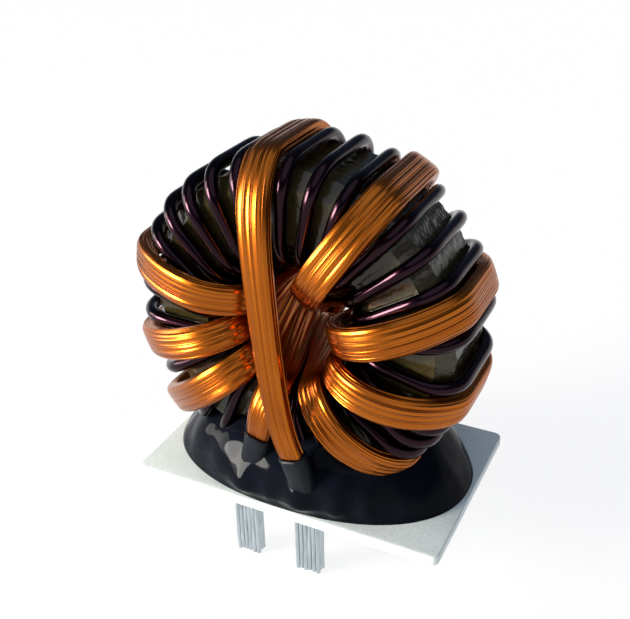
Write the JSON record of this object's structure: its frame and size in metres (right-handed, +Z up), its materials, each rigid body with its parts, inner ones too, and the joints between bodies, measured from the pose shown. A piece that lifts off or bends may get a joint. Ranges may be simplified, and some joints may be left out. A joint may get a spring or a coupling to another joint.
{
  "type": "welding transformer",
  "caption": "Ring-core power transformer standing on its rim on a small board, with an enamelled wire primary, flat copper strand secondaries, a black resin base and tinned leads.",
  "frame": {"origin": "centre of the board's underside", "axes": "+X along the board, -Y towards the side with the crossing lead, +Z up; the ring's axis is parallel to Y"},
  "size_m": [0.0538, 0.0347, 0.0669],
  "materials": {
    "board": "pale fibre board, worn at its edges",
    "core": "pressed magnetic ring, dark grey",
    "tape": "olive amber film tape, glossy, in overlapping wraps",
    "enamel": "dark purple-brown wire enamel, glossy",
    "copper": "fine copper strands under clear enamel, golden orange",
    "resin": "black casting resin, glossy",
    "sleeve": "black insulating sleeve",
    "tin": "tinned copper strands, grey"
  },
  "bodies": {
    "root": {"base_board": "board", "ring_core": "core", "core_tape": "tape", "primary_winding": "enamel", "secondary_winding_a": "copper", "secondary_winding_b": "copper", "resin_base": "resin", "sleeve_a_start": "sleeve", "lead_end_a_start": "tin", "sleeve_a_finish": "sleeve", "lead_end_a_finish": "tin", "sleeve_b_start": "sleeve", "lead_end_b_start": "tin", "sleeve_b_finish": "sleeve", "lead_end_b_finish": "tin", "lead_end_primary_start": "tin", "lead_end_primary_finish": "tin"}
  },
  "joints": []
}
